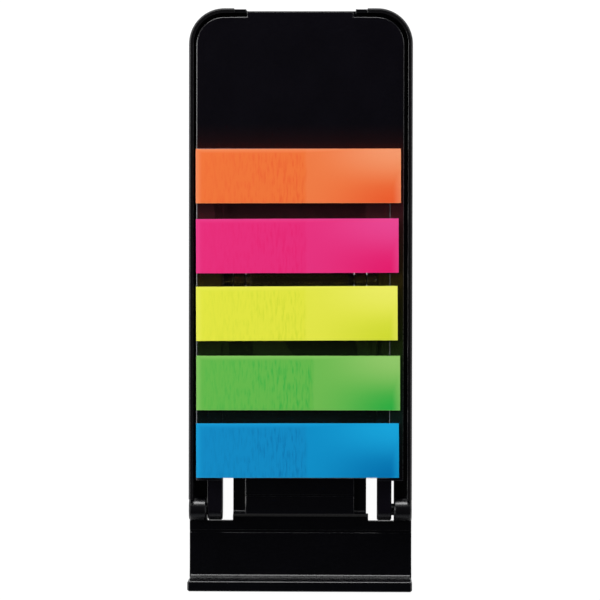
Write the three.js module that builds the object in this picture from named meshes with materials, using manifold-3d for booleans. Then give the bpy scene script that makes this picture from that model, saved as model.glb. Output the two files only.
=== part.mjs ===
// A slim folding phone stand that carries five pads of film index tabs, lying folded flat.
// X runs across the case, +Y to its rounded far end, +Z up. The origin is under the case's middle.
// The case lies on the table. The back plate turns up about two knuckles near the lip, a strut folds
// out from under the plate to prop it, and a phone then stands on the front panel against the plate.

import * as THREE from "three";
import { mergeVertices } from "three/addons/utils/BufferGeometryUtils.js";
import Module from "manifold-3d";

const wasm = await Module();
wasm.setup();

// Driving sizes of the case, in millimetres
const caseWidth = 49.0;
const caseLength = 127.35;
const farCornerRadius = 7.75;
const nearCornerRadius = 1.0;
const floorThickness = 2.0;
const rimHeight = 6.5; // top of the rim above the table
const rimWall = 1.0;
const rimEdge = 0.35; // bevel along the rim's outer edges

// The far end's notch, and the lower ends of the rim beside it
const notchHalfWidth = 12.0;
const notchInset = 0.3; // how far the floor's edge steps back in the notch
const rimStepLength = 2.6;
const rimStepDrop = 0.5;
const rimStepInset = 0.2;

// The lip that the phone stands against, and the shallow groove across the front panel
const lipHeight = 11.5;
const lipThickness = 2.3;
const lipFillet = 0.6;
const lipRound = 0.4; // radius of its upper edges
const grooveSetback = 12.25; // from the lip's outer face
const grooveWidth = 0.6;
const grooveDepth = 0.25;

// The hinge between the case and the back plate
const hingeSetback = 17.33; // from the lip's outer face to the hinge axis
const hingeHeight = 3.4;
const knuckleRadius = 2.62;
const trunnionRadius = 1.3;
const trunnionLength = 3.0;
const fingerRadius = 2.4;
const fingerWidth = 3.2;
const fingerLength = 14.0; // from the hinge axis to where it dies into the plate's rib
const knuckleWidth = 3.9;
const fingerSideGap = 0.4; // finger to knuckle, with the plate in the middle
const fingerEndGap = 0.35;
const turningGap = 0.15; // radial play of the trunnions in the knuckles
const plateSlip = 0.15; // the plate and the strut lie this far left of the middle, within their play

// The back plate
const plateTop = 6.2; // face that carries the tabs, above the table
const skinThickness = 1.4;
const plateWall = 1.0;
const plateEdge = 0.35; // width of the flat bevel along its edges
const plateEdgeDrop = 0.2; // height of that bevel
const plateSideGap = 0.72; // between the plate and the rim
const plateFarGap = 0.89;
const plateFloorGap = 0.3; // under the plate's walls and ribs
const tongueHalfWidth = 11.66; // the plate's tongue in the far notch
const tongueSetback = 0.85;
const skinReach = 6.5; // from the hinge axis to the skin's near edge
const skinNotchDepth = 1.2;

// The strut, its pin and the pivot it turns on
const pivotFromHinge = 50.57;
const pivotHeight = 3.4;
const strutKnuckleWall = 0.5; // round the bore for the pin
const collarWall = 0.4; // the same, in the collars on both sides of the strut's knuckles
const knuckleSideGap = 1.2; // from a strut knuckle to the plate's barrel
const collarGap = 0.1;
const pinRadius = 1.1;
const pinGap = 0.1;
const pinEndGap = 0.6; // from the pin's ends to the plate's ribs
const strutHalfWidth = 14.65;
const strutKnuckleWidth = 2.7;
const strutOverreach = 1.05; // the foot's end past the hinge axis
const strutBottom = 2.0;
const railTop = 3.4;
const footTop = 4.0;
const footLength = 0.5;
const footFillet = 0.35;
const panelTop = 4.5;
const panelHalfWidth = 12.0;
const panelEdge = 0.25;
const panelPivotGap = 0.5;
const creaseFromFoot = 4.12;
const creaseWidth = 0.3;
const creaseDepth = 0.25;
const pivotWindowReach = 3.5; // each way from the pivot axis
const pivotWindowSideGap = 2.12;
const caseWindowReach = 3.7; // from the pivot axis to the window's far edge, which stops the foot
const shoulderGap = 0.4; // from the fingers' far ends to where the window narrows
const strutSideGap = 0.15; // from the strut to the narrow part's sides
const sillGap = 0.18; // between the foot and the front panel's sill
const sillSlope = 0.6;
const sillDrop = 0.8;

// The clear liner sheet and the pads of film tabs on it
const linerThickness = 0.15;
const linerLeftInset = 0.13; // from the plate's left edge
const linerRightInset = 2.98; // from the plate's right edge
const linerEndMargin = 0.3;
const padWidth = 11.9;
const padThickness = 1.0;
const padPitch = 15.03;
const firstPadSetback = 36.63; // from the case's far edge to the first pad's middle

// Each pad's shortfall is how much shorter it is than the plate is wide.
const pads = [
  { name: "tab_pad_orange", colour: 0xee763a, shortfall: 0.67, slipX: -0.37, slipY: -0.08, turn: 0.16 },
  { name: "tab_pad_pink", colour: 0xe62e7a, shortfall: 1.2, slipX: -0.54, slipY: -0.33, turn: 0.28 },
  { name: "tab_pad_yellow", colour: 0xe3e544, shortfall: 1.43, slipX: -0.64, slipY: -0.1, turn: 0.35 },
  { name: "tab_pad_green", colour: 0x66b84c, shortfall: 0.91, slipX: -0.31, slipY: -0.31, turn: 0.12 },
  { name: "tab_pad_blue", colour: 0x0b8cc6, shortfall: 1.12, slipX: -0.42, slipY: -0.1, turn: 0.22 },
];

// Places worked out from the sizes
const caseHalfWidth = caseWidth / 2;
const caseFar = caseLength / 2;
const caseNear = -caseLength / 2;
const hingeY = caseNear + hingeSetback;
const pivotY = hingeY + pivotFromHinge;
const pivotRadius = pinRadius + pinGap + strutKnuckleWall;
const collarRadius = pinRadius + pinGap + collarWall;
const knuckleInner = caseHalfWidth - knuckleWidth;
const fingerOuter = knuckleInner - fingerSideGap;
const fingerInner = fingerOuter - fingerWidth;
const plateHalfWidth = caseHalfWidth - rimWall - plateSideGap;
const plateFar = caseFar - rimWall - plateFarGap;
const skinNear = hingeY + skinReach;
const skinBottom = plateTop - skinThickness;
const plateWallBottom = floorThickness + plateFloorGap;
const footEnd = hingeY - strutOverreach;
const strutKnuckleInner = strutHalfWidth - strutKnuckleWidth;
const barrelHalfWidth = strutKnuckleInner - knuckleSideGap;
const panelFar = pivotY - pivotRadius - panelPivotGap;
const windowFar = pivotY + caseWindowReach;
const windowShoulder = hingeY + fingerLength + shoulderGap;
const windowNear = hingeY - fingerRadius - fingerEndGap;
const windowSlotHalf = strutHalfWidth + plateSlip + strutSideGap;
const sillY = footEnd - sillGap;
const lipInner = caseNear + lipThickness;
const firstPadY = caseFar - firstPadSetback;
const lastPadY = firstPadY - padPitch * (pads.length - 1);
const past = 5; // how far a cutting tool runs past the face it cuts
const bite = 0.2; // how far a joined piece runs into its neighbour in the same moulding
const arcSteps = 10;
const roundSteps = 28;
const softEdgeSteps = 3; // steps in a rounded edge, where 1 is a plain bevel

// Solid modelling helpers

function solidOf(geometry) {
  geometry.deleteAttribute("normal");
  geometry.deleteAttribute("uv");
  const merged = mergeVertices(geometry, 1e-4);
  return new wasm.Manifold(
    new wasm.Mesh({
      numProp: 3,
      vertProperties: merged.attributes.position.array,
      triVerts: new Uint32Array(merged.index.array),
    }),
  );
}

function extruded(shape, depth, edge, steps, edgeDrop = edge, edgeSteps = 1) {
  return new THREE.ExtrudeGeometry(shape, {
    depth: depth - 2 * edgeDrop,
    curveSegments: steps,
    bevelEnabled: edge > 0,
    bevelSize: edge,
    bevelThickness: edgeDrop,
    bevelOffset: -edge,
    bevelSegments: edgeSteps,
  }).translate(0, 0, edgeDrop);
}

// An outline in X and Y, raised from z0 to z1, with its edges bevelled or rounded.
function slab(shape, z0, z1, edge = 0, edgeDrop = edge, edgeSteps = 1) {
  return solidOf(extruded(shape, z1 - z0, edge, arcSteps, edgeDrop, edgeSteps).translate(0, 0, z0));
}

// A profile in Y and Z, drawn along X from x0 to x1.
function bar(profile, x0, x1, edge = 0, steps = arcSteps) {
  const turn = new THREE.Matrix4().makeBasis(
    new THREE.Vector3(0, 1, 0),
    new THREE.Vector3(0, 0, 1),
    new THREE.Vector3(1, 0, 0),
  );
  return solidOf(extruded(profile, x1 - x0, edge, steps).applyMatrix4(turn).translate(x0, 0, 0));
}

function rod(radius, y, z, x0, x1, edge = 0) {
  const circle = new THREE.Shape().absarc(y, z, radius, 0, 2 * Math.PI, false);
  return bar(circle, x0, x1, edge, roundSteps);
}

function block(x0, x1, y0, y1, z0, z1) {
  const box = new THREE.BoxGeometry(x1 - x0, y1 - y0, z1 - z0);
  return solidOf(box.translate((x0 + x1) / 2, (y0 + y1) / 2, (z0 + z1) / 2));
}

function polygon(points) {
  return new THREE.Shape(points.map(([x, y]) => new THREE.Vector2(x, y)));
}

// The same solid on the left and on the right.
function bothSides(make) {
  const right = make();
  return right.add(right.mirror([1, 0, 0]));
}

function meshOf(name, solid, look) {
  const { vertProperties, triVerts } = solid.getMesh();
  const geometry = new THREE.BufferGeometry();
  geometry.setAttribute("position", new THREE.BufferAttribute(new Float32Array(vertProperties), 3));
  geometry.setIndex(new THREE.BufferAttribute(new Uint32Array(triVerts), 1));
  geometry.computeVertexNormals();
  const mesh = new THREE.Mesh(geometry, new THREE.MeshStandardMaterial(look));
  mesh.name = name;
  return mesh;
}

// An outline with two rounded far corners and two near ones, square where a radius is 0.
function roundedOutline(halfWidth, far, near, farRadius, nearRadius) {
  const shape = new THREE.Shape();
  const corner = (x, y, radius, from) => {
    if (radius > 0) shape.absarc(x, y, radius, from, from + Math.PI / 2, false);
  };
  shape.moveTo(-halfWidth + nearRadius, near);
  shape.lineTo(halfWidth - nearRadius, near);
  corner(halfWidth - nearRadius, near + nearRadius, nearRadius, -Math.PI / 2);
  shape.lineTo(halfWidth, far - farRadius);
  corner(halfWidth - farRadius, far - farRadius, farRadius, 0);
  shape.lineTo(-halfWidth + farRadius, far);
  corner(-halfWidth + farRadius, far - farRadius, farRadius, Math.PI / 2);
  shape.lineTo(-halfWidth, near + nearRadius);
  corner(-halfWidth + nearRadius, near + nearRadius, nearRadius, Math.PI);
  return shape;
}

// Base tray: floor, rim, knuckles, front panel and lip in one moulding

function lipProfile() {
  const shape = new THREE.Shape();
  shape.moveTo(caseNear, rimEdge);
  shape.lineTo(lipInner + lipFillet, rimEdge);
  shape.lineTo(lipInner + lipFillet, floorThickness);
  shape.absarc(lipInner + lipFillet, floorThickness + lipFillet, lipFillet, -Math.PI / 2, -Math.PI, true);
  shape.lineTo(lipInner, lipHeight - lipRound);
  shape.absarc(lipInner - lipRound, lipHeight - lipRound, lipRound, 0, Math.PI / 2, false);
  shape.lineTo(caseNear + lipRound, lipHeight);
  shape.absarc(caseNear + lipRound, lipHeight - lipRound, lipRound, Math.PI / 2, Math.PI, false);
  shape.lineTo(caseNear, rimEdge);
  return shape;
}

// The opening in the floor: wide at the plate's fingers, then as narrow as the strut that swings through
// it. Its near side has a sill that comes close to the strut's foot.
function caseWindow() {
  return polygon([
    [-knuckleInner, windowNear],
    [-windowSlotHalf, windowNear],
    [-windowSlotHalf, sillY],
    [windowSlotHalf, sillY],
    [windowSlotHalf, windowNear],
    [knuckleInner, windowNear],
    [knuckleInner, windowShoulder],
    [windowSlotHalf, windowShoulder],
    [windowSlotHalf, windowFar],
    [-windowSlotHalf, windowFar],
    [-windowSlotHalf, windowShoulder],
    [-knuckleInner, windowShoulder],
  ]);
}

function knuckle() {
  const round = rod(knuckleRadius, hingeY, hingeHeight, knuckleInner, caseHalfWidth, rimEdge);
  const foot = block(
    knuckleInner, caseHalfWidth - rimEdge,
    hingeY - knuckleRadius, hingeY + knuckleRadius,
    floorThickness - bite, hingeHeight,
  );
  const boreEnd = fingerOuter + trunnionLength + plateSlip + turningGap;
  const bore = rod(trunnionRadius + turningGap, hingeY, hingeHeight, knuckleInner - past, boreEnd);
  return round.add(foot).subtract(bore);
}

function baseTray() {
  const inside = roundedOutline(
    caseHalfWidth - rimWall, caseFar - rimWall, caseNear - past, farCornerRadius - rimWall, 0,
  );
  const outline = roundedOutline(caseHalfWidth, caseFar, caseNear, farCornerRadius, nearCornerRadius);
  const rimNear = hingeY + knuckleRadius - rimEdge;
  const above = rimHeight + past;
  const wide = caseHalfWidth + past;
  const stepHalf = notchHalfWidth + rimStepLength;
  const farWall = caseFar - rimWall;
  const sillSlopeCut = polygon([
    [sillY - sillSlope, floorThickness],
    [sillY, floorThickness - sillDrop],
    [sillY + bite, floorThickness - sillDrop],
    [sillY + bite, floorThickness + past],
    [sillY - sillSlope, floorThickness + past],
  ]);
  const grooveY = caseNear + grooveSetback;
  return slab(outline, 0, rimHeight, rimEdge)
    .subtract(slab(inside, floorThickness, above))
    .subtract(block(-wide, wide, caseNear - past, rimNear, floorThickness, above))
    .subtract(block(-notchHalfWidth, notchHalfWidth, farWall - bite, caseFar + past, floorThickness, above))
    .subtract(block(-stepHalf, stepHalf, farWall - bite, caseFar + past, rimHeight - rimStepDrop, above))
    .subtract(block(-stepHalf, stepHalf, caseFar - rimStepInset, caseFar + past, floorThickness, above))
    .subtract(block(-notchHalfWidth, notchHalfWidth, caseFar - notchInset, caseFar + past, -past, above))
    .add(bothSides(knuckle))
    .add(bar(lipProfile(), -caseHalfWidth, caseHalfWidth, rimEdge))
    .subtract(slab(caseWindow(), -past, hingeHeight + past))
    .subtract(bar(sillSlopeCut, -windowSlotHalf, windowSlotHalf))
    .subtract(block(
      -wide, wide, grooveY - grooveWidth / 2, grooveY + grooveWidth / 2,
      floorThickness - grooveDepth, floorThickness + bite,
    ));
}

// Back plate: skin, walls, ribs, hinge fingers with their trunnions, and the strut's barrel

// The tongue runs on past its square end by the width of the bevel, which is then cut off.
function plateOutline() {
  const radius = farCornerRadius - rimWall - plateSideGap;
  const tongueFar = caseFar - tongueSetback + plateEdge;
  const centre = plateHalfWidth - radius;
  const shape = new THREE.Shape();
  shape.moveTo(-plateHalfWidth, skinNear);
  shape.lineTo(-fingerInner, skinNear);
  shape.lineTo(-fingerInner, skinNear + skinNotchDepth);
  shape.lineTo(fingerInner, skinNear + skinNotchDepth);
  shape.lineTo(fingerInner, skinNear);
  shape.lineTo(plateHalfWidth, skinNear);
  shape.lineTo(plateHalfWidth, plateFar - radius);
  shape.absarc(centre, plateFar - radius, radius, 0, Math.PI / 2, false);
  shape.lineTo(tongueHalfWidth, plateFar);
  shape.lineTo(tongueHalfWidth, tongueFar);
  shape.lineTo(-tongueHalfWidth, tongueFar);
  shape.lineTo(-tongueHalfWidth, plateFar);
  shape.lineTo(-centre, plateFar);
  shape.absarc(-centre, plateFar - radius, radius, Math.PI / 2, Math.PI, false);
  shape.lineTo(-plateHalfWidth, skinNear);
  return shape;
}

function plateWalls() {
  const radius = farCornerRadius - rimWall - plateSideGap;
  const outside = roundedOutline(plateHalfWidth, plateFar, skinNear, radius, 0);
  const inside = roundedOutline(
    plateHalfWidth - plateWall, plateFar - plateWall, skinNear + plateWall, radius - plateWall, 0,
  );
  const top = skinBottom + bite;
  const strutRoom = block(
    -fingerInner, fingerInner, skinNear - past, skinNear + past, plateWallBottom - past, top + past,
  );
  return slab(outside, plateWallBottom, top)
    .subtract(slab(inside, plateWallBottom - past, top + past))
    .subtract(strutRoom);
}

// One finger: it runs on under the skin as a rib to the far wall.
function finger() {
  const low = hingeHeight - fingerRadius;
  const high = hingeHeight + fingerRadius;
  const ribFar = plateFar - plateWall / 2;
  return rod(fingerRadius, hingeY, hingeHeight, fingerInner, fingerOuter, panelEdge)
    .add(block(fingerInner, fingerOuter, hingeY, hingeY + fingerLength, low, high))
    .add(block(fingerInner, fingerOuter, hingeY, ribFar, plateWallBottom, skinBottom + bite))
    .add(rod(trunnionRadius, hingeY, hingeHeight, fingerOuter - bite, fingerOuter + trunnionLength));
}

function pivotWindow() {
  const outer = strutHalfWidth + pivotWindowSideGap;
  return block(
    barrelHalfWidth, outer,
    pivotY - pivotWindowReach, pivotY + pivotWindowReach,
    skinBottom - past, plateTop + past,
  );
}

// The boss beside the strut that holds the pin's end. It clears the case's floor.
function pinBoss() {
  const inner = strutHalfWidth + collarGap;
  const outer = fingerInner + bite;
  const floorRoom = block(
    inner - past, outer + past, pivotY - past, pivotY + past, -past, plateWallBottom,
  );
  return rod(collarRadius, pivotY, pivotHeight, inner, outer).subtract(floorRoom);
}

function backPlate() {
  const collarHalf = strutKnuckleInner - collarGap;
  const barrel = rod(pivotRadius, pivotY, pivotHeight, -barrelHalfWidth, barrelHalfWidth);
  const collars = rod(collarRadius, pivotY, pivotHeight, -collarHalf, collarHalf);
  const bore = rod(pinRadius + pinGap, pivotY, pivotHeight, -caseHalfWidth, caseHalfWidth);
  const wide = caseHalfWidth + past;
  const tongueEnd = caseFar - tongueSetback;
  return slab(plateOutline(), skinBottom, plateTop, plateEdge, plateEdgeDrop)
    .subtract(block(-wide, wide, tongueEnd, caseFar + past, 0, plateTop + past))
    .subtract(bothSides(pivotWindow))
    .add(barrel)
    .add(collars)
    .add(bothSides(pinBoss))
    .subtract(bore)
    .add(plateWalls())
    .add(bothSides(finger));
}

// Strut: two rails and a foot in one profile, a raised middle panel, and two knuckles

function railProfile() {
  const shape = new THREE.Shape();
  const footFar = footEnd + footLength;
  shape.moveTo(footEnd, strutBottom);
  shape.lineTo(pivotY, strutBottom);
  shape.lineTo(pivotY, railTop);
  shape.lineTo(footFar + footFillet, railTop);
  shape.absarc(footFar + footFillet, railTop + footFillet, footFillet, -Math.PI / 2, -Math.PI, true);
  shape.lineTo(footFar, footTop);
  shape.lineTo(footEnd, footTop);
  shape.lineTo(footEnd, strutBottom);
  return shape;
}

function strutKnuckle() {
  return rod(pivotRadius, pivotY, pivotHeight, strutKnuckleInner, strutHalfWidth, panelEdge);
}

function strut() {
  const panel = polygon([
    [-panelHalfWidth, footEnd],
    [panelHalfWidth, footEnd],
    [panelHalfWidth, panelFar],
    [-panelHalfWidth, panelFar],
  ]);
  const creaseY = footEnd + creaseFromFoot;
  const barrelRoom = block(
    -strutKnuckleInner, strutKnuckleInner, panelFar, pivotY + past, strutBottom - past, panelTop + past,
  );
  return bar(railProfile(), -strutHalfWidth, strutHalfWidth)
    .subtract(barrelRoom)
    .add(slab(panel, strutBottom, panelTop, panelEdge, panelEdge, softEdgeSteps))
    .add(bothSides(strutKnuckle))
    .subtract(rod(pinRadius + pinGap, pivotY, pivotHeight, -caseHalfWidth, caseHalfWidth))
    .subtract(block(
      -panelHalfWidth, panelHalfWidth, creaseY - creaseWidth / 2, creaseY + creaseWidth / 2,
      panelTop - creaseDepth, panelTop + past,
    ));
}

function strutPin() {
  const half = fingerInner - pinEndGap;
  return rod(pinRadius, pivotY, pivotHeight, -half, half, pinRadius / 4);
}

// Clear liner sheet and the pads

function linerSheet() {
  const left = -plateHalfWidth + linerLeftInset;
  const right = plateHalfWidth - linerRightInset;
  const near = lastPadY - padWidth / 2 - linerEndMargin;
  const far = firstPadY + padWidth / 2;
  return block(left, right, near, far, plateTop, plateTop + linerThickness);
}

function padMesh(pad, index) {
  const bottom = plateTop + linerThickness;
  const half = plateHalfWidth - pad.shortfall / 2;
  const solid = block(-half, half, -padWidth / 2, padWidth / 2, bottom, bottom + padThickness);
  const mesh = meshOf(pad.name, solid, { color: pad.colour, roughness: 0.5, metalness: 0 });
  mesh.position.set(pad.slipX, firstPadY - padPitch * index + pad.slipY, 0);
  mesh.rotation.z = THREE.MathUtils.degToRad(pad.turn);
  return mesh;
}

// The assembly: the case carries the plate, and the plate carries the strut, the liner and the pads

const blackPlastic = { color: 0x0d0c10, roughness: 0.45, metalness: 0 };
const satinSteel = { color: 0xa8a8ac, roughness: 0.35, metalness: 1 };
const clearFilm = { color: 0xf4f4f6, roughness: 0.1, metalness: 0, transparent: true, opacity: 0.25 };

const stand = new THREE.Group();
const plateGroup = new THREE.Group();
const strutGroup = new THREE.Group();
plateGroup.position.x = -plateSlip;
stand.add(meshOf("base_tray", baseTray(), blackPlastic), plateGroup);
plateGroup.add(meshOf("back_plate", backPlate(), blackPlastic), strutGroup);
plateGroup.add(meshOf("strut_pin", strutPin(), satinSteel));
plateGroup.add(meshOf("liner_sheet", linerSheet(), clearFilm));
plateGroup.add(...pads.map(padMesh));
strutGroup.add(meshOf("strut", strut(), blackPlastic));

export default stand;
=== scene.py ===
# %% [markdown]
# # A folding phone stand with five pads of film tabs
# The object is a slim black case, closed flat. Its back plate carries a clear liner with five pads of
# coloured film tabs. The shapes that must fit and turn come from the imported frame, which stays as it is.
# Blender adds what the eye looks for: rounded moulded edges, grained plastic, and pads that are
# made of real thin films, with a rough glued part and a smooth free tip.

# %% Load the frame
import math
import random

import bmesh
import bpy
from mathutils import Matrix, Quaternion, Vector, noise


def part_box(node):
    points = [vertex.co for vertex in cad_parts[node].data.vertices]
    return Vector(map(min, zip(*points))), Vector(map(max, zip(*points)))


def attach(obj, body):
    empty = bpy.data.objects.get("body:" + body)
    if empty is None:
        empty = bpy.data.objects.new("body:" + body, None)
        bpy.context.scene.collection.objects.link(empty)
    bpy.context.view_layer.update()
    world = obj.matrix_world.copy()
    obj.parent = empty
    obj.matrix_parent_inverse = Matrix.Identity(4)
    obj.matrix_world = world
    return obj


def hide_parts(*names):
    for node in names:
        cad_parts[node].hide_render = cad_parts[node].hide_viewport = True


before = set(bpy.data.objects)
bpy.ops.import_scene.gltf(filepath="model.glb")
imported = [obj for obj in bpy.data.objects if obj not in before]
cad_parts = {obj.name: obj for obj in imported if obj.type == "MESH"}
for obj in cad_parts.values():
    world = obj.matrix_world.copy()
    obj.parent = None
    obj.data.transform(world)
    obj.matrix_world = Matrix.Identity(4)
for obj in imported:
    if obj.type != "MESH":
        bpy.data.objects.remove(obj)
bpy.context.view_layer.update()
MM = 0.001

# %% [markdown]
# ## The camera
# The photo looks straight down on the closed stand from a little over half a metre. A long lens from
# that height gives the same mild perspective: the tall lip looks a touch wider than the low front panel.
# The lens length follows from the scale of the photo at the height of the pads.

# %% Camera above the stand
PHOTO_PIXELS = 600
PIXELS_PER_MM = 4.57          # at the height of the pads
STAND_POINT = Vector((12, 12, 620)) * MM      # where the camera hangs
AIM_POINT = Vector((-0.08, -0.15, 7.35)) * MM  # what it points at
CAMERA_ROLL = math.radians(0.11)

camera_data = bpy.data.cameras.new("camera")
camera = bpy.data.objects.new("camera", camera_data)
bpy.context.scene.collection.objects.link(camera)
view = AIM_POINT - STAND_POINT
focal_pixels = PIXELS_PER_MM / MM * view.length
camera_data.sensor_width = 36
camera_data.lens = focal_pixels * camera_data.sensor_width / PHOTO_PIXELS
camera.location = STAND_POINT
camera.rotation_mode = "QUATERNION"
camera.rotation_quaternion = (
    Vector((0, 0, -1)).rotation_difference(view) @ Quaternion((0, 0, 1), CAMERA_ROLL)
)
camera_data.clip_start = 0.01
camera_data.clip_end = 10
bpy.context.scene.camera = camera
print("lens in mm:", round(camera_data.lens, 1))

# %% [markdown]
# ## Small node helpers
# Every finish below is a network of nodes. Building one by hand means the same few moves each time:
# add a node, join two sockets, remap a number to 0 to 1, multiply two masks, blend two colours. A short
# function for each keeps the networks readable, and each finish then reads like a recipe.


# %% Node helpers
def linear(red, green, blue):
    """A colour given as 0 to 255 screen values, in the linear light that shaders use."""
    def one(value):
        value = value / 255
        return value / 12.92 if value <= 0.04045 else ((value + 0.055) / 1.055) ** 2.4
    return (one(red), one(green), one(blue), 1.0)


class Recipe:
    """A material under construction."""

    def __init__(self, name):
        self.material = bpy.data.materials.new(name)
        self.material.use_nodes = True
        self.tree = self.material.node_tree
        self.shader = self.tree.nodes["Principled BSDF"]
        self.place = self.add("ShaderNodeTexCoord").outputs["Object"]

    def add(self, kind, **settings):
        node = self.tree.nodes.new(kind)
        for key, value in settings.items():
            setattr(node, key, value)
        return node

    def feed(self, socket, value):
        """Joins a socket to another one, or sets it to a plain value."""
        if isinstance(value, bpy.types.NodeSocket):
            self.tree.links.new(value, socket)
        else:
            socket.default_value = value

    def math(self, operation, first, second=0.0):
        node = self.add("ShaderNodeMath", operation=operation)
        self.feed(node.inputs[0], first)
        self.feed(node.inputs[1], second)
        return node.outputs[0]

    def ramp(self, value, start, end, low=0.0, high=1.0):
        """Runs smoothly from low to high while value goes from start to end."""
        node = self.add("ShaderNodeMapRange", interpolation_type="SMOOTHSTEP")
        if start > end:
            start, end, low, high = end, start, high, low
        for socket, number in zip(("From Min", "From Max", "To Min", "To Max"), (start, end, low, high)):
            node.inputs[socket].default_value = number
        self.feed(node.inputs["Value"], value)
        return node.outputs["Result"]

    def mix(self, share, first, second):
        node = self.add("ShaderNodeMix", data_type="RGBA")
        self.feed(node.inputs["Factor"], share)
        self.feed(node.inputs[6], first)
        self.feed(node.inputs[7], second)
        return node.outputs[2]

    def bands(self, value, stops):
        """Runs through colours as value grows. Each stop is a place and a colour, whose fourth
        number is how strong the tint is there. Gives the colour and the strength."""
        first, last = stops[0][0], stops[-1][0]
        share = self.add("ShaderNodeMapRange")
        share.inputs["From Min"].default_value = first
        share.inputs["From Max"].default_value = last
        self.feed(share.inputs["Value"], value)
        node = self.add("ShaderNodeValToRGB")
        marks = node.color_ramp.elements
        while len(marks) < len(stops):
            marks.new(0.5)
        for mark, (place, colour) in zip(marks, stops):
            mark.position = (place - first) / (last - first)
            mark.color = colour
        self.feed(node.inputs["Fac"], share.outputs["Result"])
        return node.outputs["Color"], node.outputs["Alpha"]

    def grain(self, per_metre, detail=2.0, stretch=(1, 1, 1), turn=0.0):
        """Noise at a real size: per_metre is how many lumps fit in a metre."""
        mapping = self.add("ShaderNodeMapping")
        mapping.inputs["Scale"].default_value = stretch
        mapping.inputs["Rotation"].default_value = (0, 0, turn)
        self.feed(mapping.inputs["Vector"], self.place)
        node = self.add("ShaderNodeTexNoise")
        node.inputs["Scale"].default_value = per_metre
        node.inputs["Detail"].default_value = detail
        self.feed(node.inputs["Vector"], mapping.outputs["Vector"])
        return node.outputs["Fac"]

    def split(self, source):
        """The three numbers of a place or a direction."""
        node = self.add("ShaderNodeSeparateXYZ")
        self.feed(node.inputs["Vector"], source)
        return node.outputs

    def facing(self):
        """Where the surface faces, in the piece's own frame."""
        return self.split(self.add("ShaderNodeTexCoord").outputs["Normal"])

    def rounded(self):
        """0 on the flat faces of a square moulding, 1 on its rounded edges and knuckles."""
        x, y, z = (self.math("ABSOLUTE", side) for side in self.facing())
        return self.ramp(self.math("MAXIMUM", x, self.math("MAXIMUM", y, z)), 0.99, 0.93)

    def bump(self, height, depth, strength=1.0):
        node = self.add("ShaderNodeBump")
        node.inputs["Strength"].default_value = strength
        node.inputs["Distance"].default_value = depth
        self.feed(node.inputs["Height"], height)
        self.feed(self.shader.inputs["Normal"], node.outputs["Normal"])

    def finish(self, colour=None, roughness=None):
        if colour is not None:
            self.feed(self.shader.inputs["Base Color"], colour)
        if roughness is not None:
            self.feed(self.shader.inputs["Roughness"], roughness)
        return self.material


print("node helpers ready")

# %% [markdown]
# ## Black moulded plastic
# The case, the plate and the strut are moulded in the same black plastic. The mould is lightly blasted,
# so the faces show a very fine grain, with a pale speck of dust here and there. The edges have been
# handled more and are a little duller, which spreads the light that they catch. Three noises do it: a fine
# one bends the surface normal and varies the roughness, one makes the specks, and a broad
# faint one stops the black from looking flat. The case and the strut get a darker copy of the black, as
# painted shade on parts that lie mostly below the plate. The films are bright, and the coloured light they
# throw on the black beside them is painted into the plate and the strut as a tint that changes along Y:
# teal, green, olive, then red. The top of the case's rim gets a lighter grey, a tint along Z, as painted
# light on the highest faces. Both tints are on the faces that look up only.


# %% Black plastic
def tint(red, green, blue, strength):
    """A colour in screen values, and how strongly it covers the black."""
    return (*linear(red, green, blue)[:3], strength)


PLASTIC_ROUGHNESS = 0.2
PLASTIC_GLOSS = 0.6
EDGE_WEAR = 0.08              # how much rougher the handled edges are


def black_plastic(name, deep, worn, axis, stops):
    recipe = Recipe(name)
    fine = recipe.grain(5200, detail=3)
    broad = recipe.grain(140, detail=2)
    specks = recipe.ramp(recipe.grain(2600, detail=1), 0.66, 0.74, 0.0, 0.35)
    edge = recipe.rounded()
    recipe.shader.inputs["Specular IOR Level"].default_value = PLASTIC_GLOSS
    recipe.bump(fine, 0.006 * MM, 0.4)
    shade = recipe.math("MULTIPLY", recipe.ramp(fine, 0.35, 0.7), 0.4)
    shade = recipe.math("ADD", shade, recipe.ramp(broad, 0.35, 0.65, 0.0, 0.15))
    colour = recipe.mix(recipe.math("ADD", shade, specks), deep, worn)
    # Painted light on the faces that look up: a tint set by the place along one axis.
    painted_hue, strength = recipe.bands(recipe.split(recipe.place)[axis], stops)
    strength = recipe.math("MULTIPLY", strength, recipe.ramp(recipe.facing()["Z"], 0.1, 0.5))
    colour = recipe.mix(strength, colour, painted_hue)
    matt = recipe.ramp(fine, 0.3, 0.7, PLASTIC_ROUGHNESS - 0.03, PLASTIC_ROUGHNESS + 0.03)
    return recipe.finish(colour, recipe.math("ADD", matt, recipe.math("MULTIPLY", edge, EDGE_WEAR)))


# %% Painted light: tints along the plate and on the rim
# Painted light: a lighter grey on the up-facing top of the case's rim.
PAINTED_RIM_LIGHT = [
    (5.7 * MM, tint(18, 17, 18, 0.0)), (6.2 * MM, tint(18, 17, 18, 0.6)),
    (6.8 * MM, tint(18, 17, 18, 0.6)), (7.3 * MM, tint(18, 17, 18, 0.0)),
]
PAD_BOXES = [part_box("tab_pad_" + colour_name)
             for colour_name in ("blue", "green", "yellow", "pink", "orange")]
PAD_ENDS = [(low.y, high.y) for low, high in PAD_BOXES]
NEAR_END, FAR_END = PAD_ENDS[0][0], PAD_ENDS[-1][1]
GAPS = [(low_pad[1] + high_pad[0]) / 2 for low_pad, high_pad in zip(PAD_ENDS, PAD_ENDS[1:])]
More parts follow.
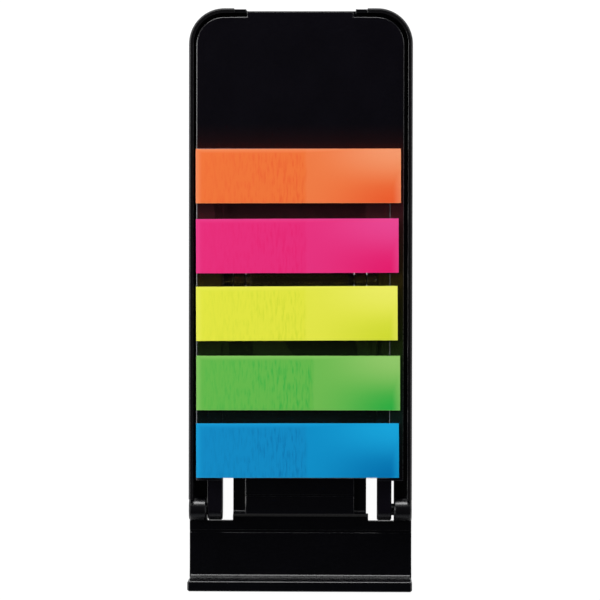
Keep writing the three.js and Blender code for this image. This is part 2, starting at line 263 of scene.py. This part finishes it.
# Painted coloured light that the films throw on the black beside them, strong in the gaps and past the far
# end.
PAINTED_FILM_LIGHT = [
    (NEAR_END, tint(17, 36, 30, 0.0)), (GAPS[0], tint(17, 36, 30, 0.7)),
    (GAPS[1], tint(27, 43, 7, 0.7)), (GAPS[2], tint(48, 39, 7, 0.7)),
    (GAPS[3], tint(66, 27, 32, 0.7)), (FAR_END - 1 * MM, tint(56, 18, 18, 0.7)),
    (FAR_END, tint(41, 13, 11, 0.7)), (FAR_END + 1.5 * MM, tint(41, 13, 11, 0.3)),
    (FAR_END + 5.5 * MM, tint(30, 12, 12, 0.0)),
]
print("gaps between the pads at Y in mm:", [round(gap / MM, 1) for gap in GAPS])

# %% The three blacks
# The case and the strut get a darker black than the plate: painted shade on parts that lie mostly below it.
CASE_BLACK = black_plastic("case_black", linear(2, 2, 4), linear(7, 7, 11), "Z", PAINTED_RIM_LIGHT)
PLATE_BLACK = black_plastic("plate_black", linear(5, 4, 8), linear(14, 12, 19), "Y", PAINTED_FILM_LIGHT)
STRUT_BLACK = black_plastic("strut_black", linear(2, 2, 4), linear(7, 7, 11), "Y", PAINTED_FILM_LIGHT)
print("black plastics:", CASE_BLACK.name, PLATE_BLACK.name, STRUT_BLACK.name)

# %% [markdown]
# ## Rounded moulded edges
# No moulded edge is truly sharp. The frame's solids have exact corners, so they keep their own mesh, and a
# stack of modifiers rounds what is seen: weld the loose faces, merge flat neighbours into one face, bevel
# every corner by 0.07 mm, then shade smooth with normals that favour the big faces.
# Modifiers are the safe choice here, because the frame's own vertices stay untouched.


# %% Edge rounding
def smooth_by_angle(limit):
    """A node group that shades faces smooth and keeps edges sharper than the limit crisp."""
    group = bpy.data.node_groups.new("smooth_by_angle", "GeometryNodeTree")
    group.interface.new_socket("Geometry", in_out="INPUT", socket_type="NodeSocketGeometry")
    group.interface.new_socket("Geometry", in_out="OUTPUT", socket_type="NodeSocketGeometry")
    entry = group.nodes.new("NodeGroupInput")
    leave = group.nodes.new("NodeGroupOutput")
    faces = group.nodes.new("GeometryNodeSetShadeSmooth")
    faces.domain = "FACE"
    faces.inputs["Shade Smooth"].default_value = True
    edges = group.nodes.new("GeometryNodeSetShadeSmooth")
    edges.domain = "EDGE"
    edges.inputs["Shade Smooth"].default_value = False
    angle = group.nodes.new("GeometryNodeInputMeshEdgeAngle")
    sharp = group.nodes.new("FunctionNodeCompare")
    sharp.operation = "GREATER_THAN"
    sharp.inputs[1].default_value = limit
    group.links.new(angle.outputs["Unsigned Angle"], sharp.inputs[0])
    group.links.new(sharp.outputs["Result"], edges.inputs["Selection"])
    group.links.new(entry.outputs[0], faces.inputs["Geometry"])
    group.links.new(faces.outputs["Geometry"], edges.inputs["Geometry"])
    group.links.new(edges.outputs["Geometry"], leave.inputs[0])
    return group


SMOOTH = smooth_by_angle(math.radians(40))
SAME_POINT = 0.002 * MM        # closer points than this are one point
SAME_FLAT = math.radians(0.6)  # faces that meet at less than this are one flat face
CORNER = math.radians(47)      # edges sharper than this are rounded
EDGE_RADIUS = 0.07 * MM


def round_edges(piece):
    weld = piece.modifiers.new("weld", "WELD")
    weld.merge_threshold = SAME_POINT
    merge = piece.modifiers.new("merge_flat", "DECIMATE")
    merge.decimate_type = "DISSOLVE"
    merge.angle_limit = SAME_FLAT
    bevel = piece.modifiers.new("round", "BEVEL")
    bevel.width = EDGE_RADIUS
    bevel.segments = 3
    bevel.limit_method = "ANGLE"
    bevel.angle_limit = CORNER
    bevel.use_clamp_overlap = False
    shade = piece.modifiers.new("shade", "NODES")
    shade.node_group = SMOOTH
    weigh = piece.modifiers.new("weigh", "WEIGHTED_NORMAL")
    weigh.keep_sharp = True


def finish_node(name, material):
    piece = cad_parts[name]
    piece.data.materials.clear()
    piece.data.materials.append(material)
    return piece


for name, material in (("base_tray", CASE_BLACK), ("back_plate", PLATE_BLACK), ("strut", STRUT_BLACK)):
    round_edges(finish_node(name, material))
print("rounded: base_tray, back_plate, strut")

# %% [markdown]
# ## The strut's pin
# A short steel pin joins the strut to the plate. Only its ends can be seen, from below. Drawn wire
# has fine scratches along its length, so the noise is stretched along X, the pin's own direction.

# %% Steel pin
wire = Recipe("pin_steel")
wire.shader.inputs["Metallic"].default_value = 1.0
scratches = wire.grain(9000, detail=2, stretch=(0.05, 1, 1))
wire.bump(scratches, 0.003 * MM, 0.4)
steel = wire.finish(
    wire.mix(scratches, linear(150, 150, 153), linear(196, 196, 200)),
    wire.ramp(scratches, 0.3, 0.7, 0.25, 0.42),
)
pin = finish_node("strut_pin", steel)
pin_shade = pin.modifiers.new("shade", "NODES")
pin_shade.node_group = SMOOTH
print("pin finished")

# %% [markdown]
# ## The clear liner
# The pads sit on a sheet of clear film. Flat film over black plastic is nearly invisible: what shows is
# its cut border, which gathers light into a thin pale line. That line is painted: the sheet gets two
# finishes, a very clear one on its faces and a cloudier one on a thin border, whose pale colour is the
# painted highlight.


# %% Clear film finishes
def clear_film(name, alpha, colour, pale, roughness):
    recipe = Recipe(name)
    haze = recipe.grain(900, detail=2)
    recipe.bump(haze, 0.002 * MM, 0.3)
    recipe.shader.inputs["Alpha"].default_value = alpha
    recipe.shader.inputs["Specular IOR Level"].default_value = 0.2
    return recipe.finish(
        recipe.mix(haze, colour, pale), recipe.ramp(haze, 0.3, 0.7, roughness, roughness + 0.08))


LINER_FACE = clear_film("liner_face", 0.06, linear(20, 20, 24), linear(34, 34, 40), 0.2)
# Painted highlight: the border's pale colour stands for the light that the cut edge gathers.
LINER_PAINTED_EDGE = clear_film("liner_painted_edge", 0.22, linear(170, 172, 178), linear(210, 212, 218), 0.3)
print("clear film finishes:", LINER_FACE.name, LINER_PAINTED_EDGE.name)


# %% [markdown]
# ## Thin sheets as closed meshes
# A film tab is about 0.05 mm thick, and it still has two faces and a cut edge. Each one is built as a grid
# of points for the lower face, the same grid raised for the upper face, and a strip of faces round the rim.
# A function gives the height at every point, so the same code makes a flat sheet or one that curls. The
# edges round the rim are marked sharp, so that smooth shading doesn't bend the light near them.

# %% Sheet builder
def spread(size, cells, shift=0.0):
    """Evenly spaced places along one side of a sheet."""
    return [(number / cells - 0.5) * size + shift for number in range(cells + 1)]


def add_sheet(mesh, across, along, base, thickness, height_at, painted_light_border=False):
    """Adds one closed sheet to a bmesh, with points at the places across (X) and along (Y). Its faces
    get material 0, and its cut edges get material 1. So do the outermost cells of a border with painted
    light."""
    columns, rows = len(across) - 1, len(along) - 1
    points = {
        (layer, i, j): mesh.verts.new((x, y, base + layer * thickness + height_at(x, y)))
        for layer in (0, 1) for i, x in enumerate(across) for j, y in enumerate(along)
    }

    def face(corners, material):
        made = mesh.faces.new([points[corner] for corner in corners])
        made.material_index = material
        made.smooth = True

    for i in range(columns):
        for j in range(rows):
            outermost = i in (0, columns - 1) or j in (0, rows - 1)
            # With a painted light border, the outermost cells take the pale edge finish.
            material = 1 if painted_light_border and outermost else 0
            around = ((i, j), (i + 1, j), (i + 1, j + 1), (i, j + 1))
            face([(1, *spot) for spot in around], material)
            face([(0, *spot) for spot in reversed(around)], material)
    rim = (
        [(i, 0) for i in range(columns)] + [(columns, j) for j in range(rows)]
        + [(i, rows) for i in range(columns, 0, -1)] + [(0, j) for j in range(rows, 0, -1)]
    )
    for here, after in zip(rim, rim[1:] + rim[:1]):
        face([(0, *here), (0, *after), (1, *after), (1, *here)], 1)
        for layer in (0, 1):
            mesh.edges.get((points[layer, *here], points[layer, *after])).smooth = False


def piece_from(mesh, name, materials, place):
    """Turns a bmesh into an object with its materials, at a place in the frame."""
    data = bpy.data.meshes.new(name)
    mesh.to_mesh(data)
    mesh.free()
    for material in materials:
        data.materials.append(material)
    piece = bpy.data.objects.new(name, data)
    bpy.context.scene.collection.objects.link(piece)
    piece.matrix_world = place
    return piece


print("sheet builder ready")

# %% Liner sheet
LINER_BORDER = 0.12 * MM
liner_low, liner_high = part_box("liner_sheet")
liner_size = liner_high - liner_low


def with_border(size, cells):
    inner = spread(size - 2 * LINER_BORDER, cells)
    return [-size / 2] + inner + [size / 2]


liner_mesh = bmesh.new()
add_sheet(
    liner_mesh, with_border(liner_size.x, 24), with_border(liner_size.y, 40),
    -liner_size.z / 2, liner_size.z, lambda x, y: 0.0, painted_light_border=True,
)
liner = piece_from(
    liner_mesh, "liner_film", [LINER_FACE, LINER_PAINTED_EDGE],
    Matrix.Translation((liner_low + liner_high) / 2),
)
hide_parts("liner_sheet")
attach(liner, "plate")
print("liner in mm:", [round(side / MM, 2) for side in liner_size])

# %% [markdown]
# ## Coloured film
# Each tab is tinted clear film. On the left 24 mm the glue under the film wets it unevenly, which shows
# as fine upright streaks in a slightly deeper colour. The free tip is smooth. A painted sheen lightens it
# along its far edge and painted shade deepens its near corner. Painted light also makes pale bands along
# the left, far and right ends, and every cut edge glows a little, because tinted film pipes light to its
# edges. All of this depends only on the place on the tab, so the network starts from object coordinates.


# %% Film finish
STREAK_STRENGTH = 0.85
EDGE_GLOW = 0.3
FILM_GLOSS = 0.12
TIP_ROUGHNESS, GLUED_ROUGHER = 0.38, 0.14


def film_face(name, ink, light, deep, length, width, tip_start):
    recipe = Recipe(name)
    spot = recipe.split(recipe.place)
    along, across = spot["X"], spot["Y"]
    half_length, half_width = length / 2, width / 2

    wander = recipe.math("MULTIPLY", recipe.math("SUBTRACT", recipe.grain(260), 0.5), 0.9 * MM)
    tip = recipe.ramp(recipe.math("ADD", along, wander), tip_start - 0.45 * MM, tip_start + 0.45 * MM)
    glued = recipe.math("SUBTRACT", 1.0, tip)

    streaks = recipe.grain(1900, detail=3, stretch=(1.0, 0.16, 1), turn=0.03)
    threads = recipe.grain(4200, detail=2, stretch=(1.0, 0.12, 1), turn=-0.02)
    streak = recipe.math(
        "MULTIPLY", recipe.ramp(streaks, 0.42, 0.68), recipe.ramp(threads, 0.34, 0.62, 0.35, 1.0))
    clear_left = recipe.ramp(along, -half_length + 0.5 * MM, -half_length + 2.6 * MM)
    stronger = recipe.ramp(along, -half_length, tip_start, 0.42, 1.0)
    clear_far = recipe.ramp(across, half_width - 0.4 * MM, half_width - 1.5 * MM)
    streak = recipe.math("MULTIPLY", streak, recipe.math("MULTIPLY", clear_left, stronger))
    streak = recipe.math("MULTIPLY", streak, recipe.math("MULTIPLY", clear_far, glued))
    colour = recipe.mix(recipe.math("MULTIPLY", streak, STREAK_STRENGTH), ink, deep)

    # Painted light on the free tip: a sheen along its far edge, and painted shade in its near corner.
    out = recipe.ramp(along, tip_start - 1.0 * MM, half_length)
    near = recipe.ramp(across, half_width * 0.55, -half_width)
    far = recipe.ramp(across, -half_width * 0.5, half_width)
    colour = recipe.mix(recipe.math("MULTIPLY", tip, 0.16), colour, light)
    colour = recipe.mix(recipe.math("MULTIPLY", out, near), colour, deep)
    painted_sheen = recipe.math("MULTIPLY", recipe.math("MULTIPLY", out, far), 0.85)
    # Painted light: pale bands along the right end, the left end and the far edge.
    end_band = recipe.math("MULTIPLY", recipe.ramp(along, half_length - 2.0 * MM, half_length), 0.42)
    left_band = recipe.math("MULTIPLY", recipe.ramp(along, -half_length + 1.5 * MM, -half_length), 0.5)
    far_band = recipe.math("MULTIPLY", recipe.ramp(across, half_width - 1.1 * MM, half_width), 0.45)
    bands = recipe.math("MAXIMUM", left_band, recipe.math("MAXIMUM", far_band, end_band))
    colour = recipe.mix(recipe.math("MAXIMUM", painted_sheen, bands), colour, light)

    past_end = recipe.math("SUBTRACT", recipe.math("ABSOLUTE", along), half_length)
    past_side = recipe.math("SUBTRACT", recipe.math("ABSOLUTE", across), half_width)
    reach = recipe.math("MAXIMUM", past_end, past_side)
    glow = recipe.ramp(reach, -0.2 * MM, -0.02 * MM, 0.0, EDGE_GLOW)
    colour = recipe.mix(glow, colour, light)

    recipe.shader.inputs["Specular IOR Level"].default_value = FILM_GLOSS
    recipe.bump(streak, 0.012 * MM, 0.5)
    rougher = recipe.math("MULTIPLY", glued, GLUED_ROUGHER)
    return recipe.finish(colour, recipe.math("ADD", TIP_ROUGHNESS, rougher))


def film_side(name, light, ink):
    """The cut edges of the films: pale, with a faint line for each sheet."""
    recipe = Recipe(name)
    lines = recipe.grain(1500, detail=2, stretch=(0.1, 0.1, 14))
    colour = recipe.mix(recipe.ramp(lines, 0.3, 0.7), ink, light)
    return recipe.finish(colour, recipe.ramp(lines, 0.3, 0.7, 0.4, 0.55))


print("film finishes ready")

# %% [markdown]
# ## Pads of films
# A pad is a stack of twenty films, glued over their left half. Nobody stacks them perfectly, so each
# film slips by a few hundredths of a millimetre, from a seeded random so that every run is alike. The free
# tips have nothing to hold them down: each film lifts a little more than the one below, and the
# top one also twists, with its far corner highest. The place, size and turn of each pad are measured
# from the corners of its solid in the frame.

# %% Measure a pad in the frame
FILMS = 20
FILM_SHARE = 0.9               # of a film's room in the stack that the film itself fills
FILM_SLIP = 0.02 * MM
TIP_LIFT = 0.22 * MM
TIP_TWIST = 0.12 * MM
RIPPLE = 0.006 * MM            # of the glued part of the top film


def pad_place(node):
    """The pad's place, length, width and thickness, from the corners of its solid."""
    corners = [vertex.co.copy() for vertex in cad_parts[node].data.vertices]
    low = min(corner.z for corner in corners)
    high = max(corner.z for corner in corners)
    near_left = min(corners, key=lambda corner: corner.x + corner.y)
    near_right = max(corners, key=lambda corner: corner.x - corner.y)
    far_left = min(corners, key=lambda corner: corner.x - corner.y)
    run = Vector((near_right.x - near_left.x, near_right.y - near_left.y, 0))
    rise = Vector((far_left.x - near_left.x, far_left.y - near_left.y, 0))
    middle = Vector((near_left.x, near_left.y, low)) + run / 2 + rise / 2
    turn = math.atan2(run.y, run.x)
    place = Matrix.Translation(middle) @ Matrix.Rotation(turn, 4, "Z")
    return place, run.length, rise.length, high - low


# %% Build the pads
def build_pad(colour_name, ink, light, deep, tip_start, seed):
    node = "tab_pad_" + colour_name
    place, length, width, thickness = pad_place(node)
    chance = random.Random(seed)
    sheet = thickness / FILMS
    mesh = bmesh.new()
    for number in range(FILMS):
        share = number / (FILMS - 1)
        is_top = number == FILMS - 1

        def lift(x, y, share=share, is_top=is_top):
            free = min(1.0, max(0.0, (x - tip_start) / (length / 2 - tip_start)))
            height = TIP_LIFT * share ** 1.5 * free ** 2
            height += TIP_TWIST * share ** 3 * free ** 2 * (y / width + 0.5)
            if is_top:
                ripple = noise.noise(Vector((x / (1.1 * MM), y / (6 * MM), seed)))
                height += RIPPLE * ripple * (1 - free)
            return height

        columns, rows = (120, 16) if is_top else (24, 2)
        across = spread(length - 2 * FILM_SLIP, columns, chance.uniform(-FILM_SLIP, FILM_SLIP))
        along = spread(width - 2 * FILM_SLIP, rows, chance.uniform(-FILM_SLIP, FILM_SLIP))
        add_sheet(mesh, across, along, number * sheet, sheet * FILM_SHARE, lift)
    face = film_face("film_face_" + colour_name, ink, light, deep, length, width, tip_start)
    side = film_side("film_side_" + colour_name, light, ink)
    pad = piece_from(mesh, "film_pad_" + colour_name, [face, side], place)
    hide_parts(node)
    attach(pad, "plate")
    print(pad.name, "length and width in mm:", round(length / MM, 2), round(width / MM, 2))


INKS = {
    "orange": (linear(238, 115, 55), linear(244, 156, 112), linear(234, 92, 45)),
    "pink": (linear(230, 44, 121), linear(233, 74, 148), linear(229, 28, 108)),
    "yellow": (linear(226, 229, 64), linear(238, 238, 104), linear(209, 219, 50)),
    "green": (linear(101, 184, 75), linear(152, 203, 110), linear(42, 173, 66)),
    "blue": (linear(10, 139, 197), linear(24, 170, 224), linear(0, 114, 175)),
}
TIP_STARTS = {"orange": 1.7 * MM, "pink": 1.9 * MM, "yellow": 2.0 * MM, "green": 3.3 * MM, "blue": 2.0 * MM}

for seed, (colour_name, inks) in enumerate(INKS.items()):
    build_pad(colour_name, *inks, TIP_STARTS[colour_name], seed + 11)

# %% [markdown]
# ## Floor and background
# The floor is a plain white sheet. The camera sees it as white light, also through clear film. Steel and
# glossy plastic mirror it too, but dimmed, because the floor close to a black case lies in its shade. A
# small part of it stays an ordinary white surface, so that the stand still leaves a soft shadow. The world
# is white as well where the camera misses the floor. In mirrors it is pale along the horizon and dark
# overhead, like a studio's ceiling, which is why the flat black faces stay black.


# %% Floor
def seen_directly(nodes, links):
    """1 for rays from the camera, also through clear film, 0 for the light that falls on things."""
    path = nodes.new("ShaderNodeLightPath")
    either = nodes.new("ShaderNodeMath")
    either.operation = "MAXIMUM"
    links.new(path.outputs["Is Camera Ray"], either.inputs[0])
    links.new(path.outputs["Is Transmission Ray"], either.inputs[1])
    return either.outputs[0]


def seen_mirrored(nodes, links, seen, strength):
    """The same, and also the given strength for rays that bounce off glossy plastic or steel."""
    path = nodes.new("ShaderNodeLightPath")
    dimmed = nodes.new("ShaderNodeMath")
    dimmed.operation = "MULTIPLY"
    dimmed.inputs[1].default_value = strength
    links.new(path.outputs["Is Glossy Ray"], dimmed.inputs[0])
    either = nodes.new("ShaderNodeMath")
    either.operation = "MAXIMUM"
    links.new(seen, either.inputs[0])
    links.new(dimmed.outputs[0], either.inputs[1])
    return either.outputs[0]


FLOOR_WHITE = 1.09             # how brightly the seen floor shines
FLOOR_SEEN = 0.9               # the rest of it shows the stand's shadow
FLOOR_IN_MIRRORS = 0.15
BELOW_STAND = 0.02 * MM

floor_mesh = bmesh.new()
bmesh.ops.create_grid(floor_mesh, x_segments=2, y_segments=2, size=2.0)
floor_material = bpy.data.materials.new("white_floor")
floor_material.use_nodes = True
floor_nodes, floor_links = floor_material.node_tree.nodes, floor_material.node_tree.links
floor_nodes.clear()
paper = floor_nodes.new("ShaderNodeBsdfDiffuse")
paper.inputs["Color"].default_value = (0.8, 0.8, 0.8, 1)
glow = floor_nodes.new("ShaderNodeEmission")
glow.inputs["Color"].default_value = (1, 1, 1, 1)
glow.inputs["Strength"].default_value = FLOOR_WHITE
share = floor_nodes.new("ShaderNodeMath")
share.operation = "MULTIPLY"
share.inputs[1].default_value = FLOOR_SEEN
floor_seen = seen_directly(floor_nodes, floor_links)
floor_seen = seen_mirrored(floor_nodes, floor_links, floor_seen, FLOOR_IN_MIRRORS)
floor_links.new(floor_seen, share.inputs[0])
blend = floor_nodes.new("ShaderNodeMixShader")
floor_links.new(share.outputs[0], blend.inputs[0])
floor_links.new(paper.outputs[0], blend.inputs[1])
floor_links.new(glow.outputs[0], blend.inputs[2])
floor_out = floor_nodes.new("ShaderNodeOutputMaterial")
floor_links.new(blend.outputs[0], floor_out.inputs["Surface"])
floor = piece_from(floor_mesh, "floor", [floor_material], Matrix.Translation((0, 0, -BELOW_STAND)))
print("floor ready")

# %% World
HORIZON_LIGHT, OVERHEAD_LIGHT = 0.37, 0.015
BAND_TOP, CEILING = 0.4, 0.8   # heights on the sky's sphere between which the light fades

world = bpy.data.worlds.new("studio")
bpy.context.scene.world = world
world.use_nodes = True
world_nodes, world_links = world.node_tree.nodes, world.node_tree.links
world_nodes.clear()
fill_light = world_nodes.new("ShaderNodeBackground")
fill_light.inputs["Color"].default_value = (0.9, 0.93, 1.0, 1)
direction = world_nodes.new("ShaderNodeSeparateXYZ")
world_links.new(world_nodes.new("ShaderNodeTexCoord").outputs["Generated"], direction.inputs[0])
height = world_nodes.new("ShaderNodeMapRange")
height.interpolation_type = "SMOOTHSTEP"
height.inputs["From Min"].default_value = BAND_TOP
height.inputs["From Max"].default_value = CEILING
height.inputs["To Min"].default_value = HORIZON_LIGHT
height.inputs["To Max"].default_value = OVERHEAD_LIGHT
world_links.new(direction.outputs["Z"], height.inputs["Value"])
world_links.new(height.outputs["Result"], fill_light.inputs["Strength"])
backdrop = world_nodes.new("ShaderNodeBackground")
backdrop.inputs["Color"].default_value = (1, 1, 1, 1)
backdrop.inputs["Strength"].default_value = 1.0
choose = world_nodes.new("ShaderNodeMixShader")
world_links.new(seen_directly(world_nodes, world_links), choose.inputs[0])
world_links.new(fill_light.outputs[0], choose.inputs[1])
world_links.new(backdrop.outputs[0], choose.inputs[2])
world_out = world_nodes.new("ShaderNodeOutputWorld")
world_links.new(choose.outputs[0], world_out.inputs["Surface"])
print("world ready")

# %% [markdown]
# ## Lights
# In the photo every edge that faces left or away from us carries a bright line, and the other edges stay
# dark. Two large soft lamps give that, one at the left and one beyond the far end. Both stand 25 to 30
# degrees above the table: low enough that their mirror images in the flat black plate miss the camera,
# and high enough that the plate's bevelled edge sends them to it. A weaker one at the right opens the
# shadows.


# %% Soft lamps
def soft_lamp(name, place, size, power, aim=(0, 0, 0)):
    data = bpy.data.lights.new(name, "AREA")
    data.shape = "RECTANGLE"
    data.size, data.size_y = size
    data.energy = power
    lamp = bpy.data.objects.new(name, data)
    bpy.context.scene.collection.objects.link(lamp)
    lamp.location = place
    lamp.rotation_euler = (Vector(aim) - Vector(place)).to_track_quat("-Z", "Y").to_euler()
    return lamp


soft_lamp("left_lamp", (-1.0, 0.14, 0.6), (0.44, 0.9), 12.4)
soft_lamp("far_lamp", (-0.22, 1.02, 0.47), (0.9, 0.44), 13.2)
soft_lamp("right_lamp", (0.9, 0.3, 0.5), (0.5, 0.4), 1.9)
bpy.context.scene.view_settings.view_transform = "Standard"
print("lamps ready")
